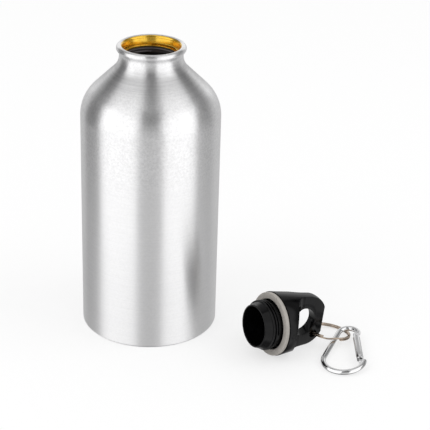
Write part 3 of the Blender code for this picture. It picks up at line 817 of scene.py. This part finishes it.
def split_ring(s):
    """Flattened wire wound nearly twice round, with the crank to its second level."""
    level = s.wire_height + s.coil_gap
    bm = bmesh.new()
    bmesh.ops.create_grid(bm, x_segments=1, y_segments=1, size=0.5)
    bmesh.ops.scale(bm, vec=(s.wire_width, s.wire_height, 1), verts=bm.verts)
    bmesh.ops.bevel(
        bm, geom=bm.verts[:], offset=s.wire_height * RING_CORNER, affect="VERTICES", segments=4,
        profile=0.5, material=-1,
    )
    start = Matrix.Rotation(s.split_at + s.end_angle - math.pi / 2, 4, "Z")
    out = Matrix.Translation((s.radius, 0, -level / 2))
    moved(bm, start, out, Matrix.Rotation(math.pi / 2, 4, "X"))
    flat = 2 * math.pi - s.end_angle - s.crank_angle / 2
    shares = [math.sin(math.pi * (i + 0.5) / CRANK_STEPS) for i in range(CRANK_STEPS)]
    wire = Wire(bm)
    wire.arc((0, 0, 0), flat, 96)
    for part in shares:
        wire.arc((0, 0, 0), s.crank_angle / CRANK_STEPS, 1, level * part / sum(shares))
    wire.arc((0, 0, 0), flat, 96)
    bmesh.ops.translate(bm, vec=(0, s.radius, 0), verts=bm.verts)
    return softened(welded(bm), RING_END_ROUNDING, 2, 60)


def carabiner_matrix(s):
    """Place of the frame, which is modelled flat with the wide end's middle at the origin."""
    turn = Matrix.Rotation(-s.turn, 4, "Z") @ Matrix.Rotation(s.rise, 4, "X")
    return Matrix.Translation(s.place) @ turn @ Matrix.Rotation(-s.roll, 4, "Y")


def narrow_end(s):
    """Middle of the narrow end and the angle at which the straight leg leaves both ends."""
    narrow = Vector((s.narrow_offset, s.centre_distance, 0))
    spread = math.acos((s.wide_radius - s.narrow_radius) / narrow.length)
    return narrow, math.atan2(narrow.y, narrow.x) + spread


def round_the(centre, radius, turn):
    """A point on a circle that lies flat."""
    return centre + radius * Vector((math.cos(turn), math.sin(turn), 0))


def gate_line(s):
    """Hinge, latch and the two ends of the bent wire."""
    narrow, _ = narrow_end(s)
    hinge_end = round_the(narrow, s.narrow_radius, s.hinge_end)
    nose_end = round_the(Vector(), s.wide_radius, s.nose_end)
    hinge = hinge_end - Vector((s.hinge_offset, s.hinge_drop, 0))
    latch = nose_end + Vector((-s.nose_offset, s.gate_gap + s.latch_depth, 0))
    return hinge, latch, hinge_end, nose_end


def gate_matrix(s):
    """Place of the gate, modelled from the hinge up along Z with its pins along Y."""
    hinge, latch, _, _ = gate_line(s)
    along = (latch - hinge).normalized()
    flat = Vector((0, 0, 1))
    turn = Matrix((flat.cross(along), flat, along)).transposed().to_4x4()
    return carabiner_matrix(s) @ Matrix.Translation(hinge) @ turn


def carabiner_frame(s):
    """Round wire bent round both ends, with a flat tongue at the hinge and at the nose."""
    narrow, leg = narrow_end(s)
    hinge, latch, hinge_end, nose_end = gate_line(s)
    bm = bmesh.new()
    bmesh.ops.create_circle(bm, cap_ends=True, radius=s.wire / 2, segments=32)
    upright = Matrix.Rotation(math.pi / 2, 4, "X")
    out = Matrix.Translation((s.narrow_radius, 0, 0))
    moved(bm, Matrix.Translation(narrow) @ Matrix.Rotation(s.hinge_end, 4, "Z"), out, upright)
    wire = Wire(bm)
    wire.arc(narrow, leg - s.hinge_end, 48)
    wire.run(round_the(-narrow, s.wide_radius - s.narrow_radius, leg))
    wire.arc((0, 0, 0), 2 * math.pi + s.nose_end - leg, 96)
    softened(welded(bm), FRAME_END_ROUNDING, 4, 60)
    half = s.tongue_thickness / 2
    width = s.tongue_width / 2
    hinge_tongue = block(
        (hinge.x - width, hinge.y - width - s.pin_gap, -half),
        (hinge.x + width, hinge_end.y + HINGE_TONGUE_SINK, half),
    )
    notch = s.latch_pin + s.notch_gap
    nose_tongue = block(
        (latch.x - width / 2, nose_end.y - s.wire / 2, -half),
        (nose_end.x - NOSE_TONGUE_SET_BACK, latch.y + notch + width / 2, half),
    )
    joins = [softened(tongue, TONGUE_ROUNDING) for tongue in (hinge_tongue, nose_tongue)]
    hole = cylinder(s.hinge_pin + s.pin_gap, -CUT_REACH, CUT_REACH)
    moved(hole, Matrix.Translation(hinge))
    slot = block(
        (latch.x - CUT_REACH, latch.y - notch, -CUT_REACH),
        (latch.x + notch, latch.y + notch, CUT_REACH),
    )
    return carved(bm, [hole, slot], joins)


def gate_tube(s):
    """Tube bored from the hinge end, slotted at both ends, with holes for its pins."""
    hinge, latch, _, _ = gate_line(s)
    length = (latch - hinge).length
    top = -s.gate_radius
    bottom = length + s.latch_depth
    soft = s.gate_radius / 4
    slot_end = s.tongue_width / 2 + s.pin_gap + s.link_gap
    bore_end = slot_end + s.spring_space
    line = Outline(0, bottom)
    line.line(s.gate_radius - soft, bottom)
    line.arc(s.gate_radius - soft, bottom - soft, -math.pi / 2, 6)
    line.line(s.gate_radius, top + soft)
    line.arc(s.gate_radius - soft, top + soft, -math.pi / 2, 6)
    line.line(s.gate_bore, top)
    line.line(s.gate_bore, bore_end)
    line.line(0, bore_end)
    blank = line.turned(64)
    half = s.gate_slot / 2
    reach = 2 * s.gate_radius
    latch_slot = length - s.latch_pin - s.notch_gap - s.tongue_width / 2
    across = Matrix.Rotation(math.pi / 2, 4, "X")
    cuts = [
        block((-reach, -half, top - reach), (reach, half, slot_end)),
        block((-reach, -half, latch_slot), (reach, half, bottom + reach)),
        moved(cylinder(s.hinge_pin + s.pin_gap, -reach, reach), across),
        moved(
            cylinder(s.latch_pin + s.pin_gap, -reach, reach),
            Matrix.Translation((0, 0, length)), across,
        ),
    ]
    return carved(blank, cuts)


def riveted_pin(radius, reach, along):
    """Cross pin whose ends are peened into low domed heads."""
    across = Matrix.Translation((0, 0, along)) @ Matrix.Rotation(math.pi / 2, 4, "X")
    pin = cylinder(radius, -reach, reach, 32)
    heads = []
    for side in (-1, 1):
        low, high = sorted((side * reach * HEAD_FROM, side * reach * HEAD_TO))
        head = cylinder(radius * HEAD_RADIUS, low, high, 32)
        heads.append(softened(head, radius * HEAD_ROUNDING))
    return moved(joined(pin, *heads), across)


# Operators


class BOTTLE_OT_shell(bpy.types.Operator):
    """Turn the bottle's shell and cut its neck thread"""

    bl_idname = "bottle.shell"
    bl_label = "Bottle shell"

    def execute(self, context):
        s = settings("shell")
        looks = [brushed_aluminium(s), gold_lacquer(s)]
        finished(bottle_shell(s), "drawn_shell", looks, "bottle", "bottle_shell")
        return {"FINISHED"}


class BOTTLE_OT_cap(bpy.types.Operator):
    """Mould the cap and lay its seal against the flange"""

    bl_idname = "bottle.cap"
    bl_label = "Cap and seal"

    def execute(self, context):
        s = settings("cap")
        place = cap_matrix(s)
        finished(
            cap_body(s), "loop_cap", [moulded_plastic(s)], "cap", "cap_body",
            place=place,
        )
        finished(
            seal_ring(s), "flat_seal", [pale_silicone(s)], "cap", "seal_washer",
            place=place,
        )
        return {"FINISHED"}


class BOTTLE_OT_ring(bpy.types.Operator):
    """Wind the split ring through the cap's eyelet"""

    bl_idname = "bottle.ring"
    bl_label = "Split ring"

    def execute(self, context):
        s = settings("ring")
        look = plated("ring_nickel_plated", s.nickel, 0.14, 0.12)
        finished(
            split_ring(s), "wound_ring", [look], "ring", "split_ring",
            place=ring_matrix(settings("cap"), s),
        )
        return {"FINISHED"}


class BOTTLE_OT_carabiner(bpy.types.Operator):
    """Bend the carabiner's frame and fit its gate and pins"""

    bl_idname = "bottle.carabiner"
    bl_label = "Carabiner"

    def execute(self, context):
        s = settings("carabiner")
        look = plated("carabiner_chrome_polished", s.chrome, 0.07, 0.06)
        satin = plated("carabiner_chrome_satin", [0.84 * part for part in s.chrome], 0.1, 0.1)
        place = carabiner_matrix(s)
        finished(
            carabiner_frame(s), "bent_frame", [look], "carabiner", "carabiner_frame",
            place=place,
        )
        place = gate_matrix(s)
        hinge, latch, _, _ = gate_line(s)
        length = (latch - hinge).length
        finished(gate_tube(s), "slotted_gate", [satin], "gate", "gate", place=place)
        pin = riveted_pin(s.hinge_pin, s.gate_radius, 0)
        finished(pin, "hinge_rivet", [look], "gate", "hinge_pin", place=place)
        pin = riveted_pin(s.latch_pin, s.gate_radius, length)
        finished(pin, "latch_rivet", [look], "gate", "latch_pin", place=place)
        return {"FINISHED"}


class BOTTLE_OT_springs(bpy.types.Operator):
    """Give the spring and the plunger inside the gate their steel"""

    bl_idname = "bottle.springs"
    bl_label = "Gate spring and plunger"

    def execute(self, context):
        look = plated("spring_steel_drawn", settings("carabiner").steel, 0.25, 0.1)
        for name in ("gate_spring", "plunger"):
            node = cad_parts[name]
            for held in node.material_slots:
                held.material = look
        return {"FINISHED"}


class BOTTLE_OT_stage(bpy.types.Operator):
    """Lay the floor, light the studio and set the camera"""

    bl_idname = "bottle.stage"
    bl_label = "Floor, light and camera"

    def execute(self, context):
        s = settings("studio")
        studio_floor(s)
        surroundings(s)
        lamps(s)
        camera(s)
        context.scene.view_settings.view_transform = "Standard"
        return {"FINISHED"}


def studio_floor(s):
    """Large pale floor that keeps the shadows. Metal mirrors the surroundings instead."""
    bm = bmesh.new()
    bmesh.ops.create_grid(bm, x_segments=1, y_segments=1, size=s.floor_size / 2)
    floor = as_object(bm, "floor")
    nodes = finish_named("floor")
    tree = nodes.tree
    nodes.surface(Base_Color=s.floor, Roughness=0.9, Specular_IOR_Level=0.1)
    light_path = nodes.add("ShaderNodeLightPath", output="Is Camera Ray")
    glow = {"Color": (1, 1, 1), "Strength": s.floor_white}
    white = nodes.add("ShaderNodeEmission", None, glow)
    plain = Value(nodes, tree.nodes["Principled BSDF"].outputs[0])
    shaders = {0: light_path * s.floor_glow, 1: plain, 2: white}
    mixed = nodes.add("ShaderNodeMixShader", None, shaders)
    tree.links.new(mixed.socket, tree.nodes["Material Output"].inputs["Surface"])
    floor.data.materials.append(nodes.owner)
    floor.visible_glossy = False


def surroundings(s):
    """White for the camera, the studio's room for metal and an even light for the rest."""
    world = bpy.data.worlds.new("studio")
    bpy.context.scene.world = world
    nodes = Nodes(world)
    path = nodes.tree.nodes.new("ShaderNodeLightPath")
    seen = Value(nodes, path.outputs["Is Camera Ray"])
    glossy = Value(nodes, path.outputs["Is Glossy Ray"])
    strength = seen + (1 - seen) * (glossy * mirrored_room(nodes, s) + (1 - glossy) * s.plain)
    background = nodes.tree.nodes["Background"]
    background.inputs["Color"].default_value = (1, 1, 1, 1)
    nodes.tree.links.new(strength.socket, background.inputs["Strength"])
    world.cycles.sampling_method = "NONE"  # the even light needs none


def mirrored_room(nodes, s):
    """Brightness of the room in each direction: panels between darker parts.

    Turns are degrees round the upright, from 0 on the photographer's side to 180 at the far
    side. Heights are sines of the angle over the level.
    """
    way = nodes.add("ShaderNodeTexCoord", output="Generated")
    split = nodes.tree.nodes.new("ShaderNodeSeparateXYZ")
    nodes.tree.links.new(way.socket, split.inputs[0])
    x, y, z = (Value(nodes, output) for output in split.outputs)
    flat = z.maths("SQRT", 1.0001 - z * z)  # never 0, since it divides
    across = x / flat
    turn = z.maths("DEGREES", z.maths("ARCCOSINE", y * -1 / flat))
    outer = turn + 5 * across
    z = z - s.room_rise
    right = across.ramp(0.3, 0.9)
    left = (-1 * across).ramp(0.3, 0.9)
    high = z.ramp(0.3, 0.75)
    up = z.ramp(-0.15, 0.4)
    low = 1 - z.ramp(-0.5, -0.42)
    horizon = 1 - z.size().ramp(0.1, 0.22)

    # Borders of the part ahead, the parts at the sides and the part behind.
    middle = z.ramp(-0.3, 0) * (1 - z.ramp(0.45, 0.7))
    wider = z.ramp(0.5, 0.85) * (5 + 7 * across.ramp(0, 0.3)) - 4 * middle
    front = 1 - (turn - wider).ramp(20, 24)
    shift = z.ramp(0.1, 0.5) * 12 + high * (2 + 17 * right)
    beyond = (outer - shift).ramp(79, 88)
    back = (outer - high * (12 + 10 * right)).ramp(117, 132)

    # Brightness of each part, and of a window in the panels.
    ahead = 0.52 - 0.3 * up + 0.19 * low + 0.1 * horizon
    ahead = ahead - 0.08 * z.ramp(0.35, 0.5) + 0.09 * z.ramp(0.6, 0.85)
    sides = 0.36 - 0.2 * up + 0.26 * low + 0.14 * z.ramp(0.15, 0.5)
    sides = sides - 0.16 * left * (1 - up) * (1 - low)
    behind = 0.58 + 0.6 * outer.ramp(138, 152) * z.ramp(-0.02, 0.15)
    behind = behind - 0.25 * z.ramp(0.05, 0.3)
    behind = behind - 0.4 * z.ramp(0.35, 0.5) * (1 - z.ramp(0.95, 0.99))
    window = z.ramp(0.05, 0.15) * (1 - z.ramp(0.5, 0.6))
    window = window * outer.ramp(55, 60) * (1 - outer.ramp(76, 80))
    panels = s.strip + 0.15 * z.ramp(0.1, 0.5) + 0.1 * horizon - 0.28 * z.ramp(0.4, 0.7)
    panels = panels + 0.3 * window

    mirrored = panels + front * (ahead - panels) + (beyond - back) * (sides - panels)
    mirrored = mirrored + back * (behind - panels)
    return mirrored * (0.2 + 0.8 * z.ramp(-0.97, -0.75))


def lamps(s):
    """Two large soft panels, high on the left and on the right."""
    for name, place, power in (
        ("left_panel", (-0.9, -0.5, 1.1), s.left_power),
        ("right_panel", (1.0, -0.2, 1.0), s.right_power),
    ):
        data = bpy.data.lights.new(name, "AREA")
        data.shape = "SQUARE"
        data.size = s.lamp_size
        data.energy = power
        lamp = bpy.data.objects.new(name, data)
        bpy.context.scene.collection.objects.link(lamp)
        lamp.location = place
        lamp.rotation_euler = (-Vector(place)).to_track_quat("-Z", "Y").to_euler()
        lamp.visible_glossy = False


def camera(s):
    """Camera at the photograph's viewing angle."""
    data = bpy.data.cameras.new("camera")
    data.lens = s.lens
    data.sensor_width = 36
    data.sensor_fit = "HORIZONTAL"
    data.clip_start = 0.01
    made = bpy.data.objects.new("camera", data)
    bpy.context.scene.collection.objects.link(made)
    turn = Matrix.Rotation(-s.yaw, 4, "Z") @ Matrix.Rotation(math.pi / 2 - s.pitch, 4, "X")
    made.matrix_world = Matrix.Translation(s.camera_place) @ turn @ Matrix.Rotation(s.roll, 4, "Z")
    bpy.context.scene.camera = made


PIECES = (
    BOTTLE_OT_shell,
    BOTTLE_OT_cap,
    BOTTLE_OT_ring,
    BOTTLE_OT_carabiner,
    BOTTLE_OT_springs,
    BOTTLE_OT_stage,
)


class BOTTLE_PT_panel(bpy.types.Panel):
    """Sizes and finishes of the bottle, its cap, ring and carabiner"""

    bl_idname = "BOTTLE_PT_panel"
    bl_label = "Aluminium bottle"
    bl_space_type = "VIEW_3D"
    bl_region_type = "UI"
    bl_category = "Bottle"

    def draw(self, context):
        for piece in PIECES:
            self.layout.operator(piece.bl_idname)
        for name, group in SETTINGS.items():
            box = self.layout.box()
            box.label(text=group.__doc__)
            for key in group.__annotations__:
                box.prop(getattr(context.scene, name), key)


CLASSES = (*SETTINGS.values(), *PIECES, BOTTLE_PT_panel)


def register():
    for one in CLASSES:
        bpy.utils.register_class(one)
    for name, group in SETTINGS.items():
        setattr(bpy.types.Scene, name, PointerProperty(type=group))


def unregister():
    for name in SETTINGS:
        delattr(bpy.types.Scene, name)
    for one in reversed(CLASSES):
        bpy.utils.unregister_class(one)


def main():
    register()
    bpy.ops.bottle.shell()
    bpy.ops.bottle.cap()
    bpy.ops.bottle.ring()
    bpy.ops.bottle.carabiner()
    bpy.ops.bottle.springs()
    bpy.ops.bottle.stage()


if __name__ == "__main__":
    main()
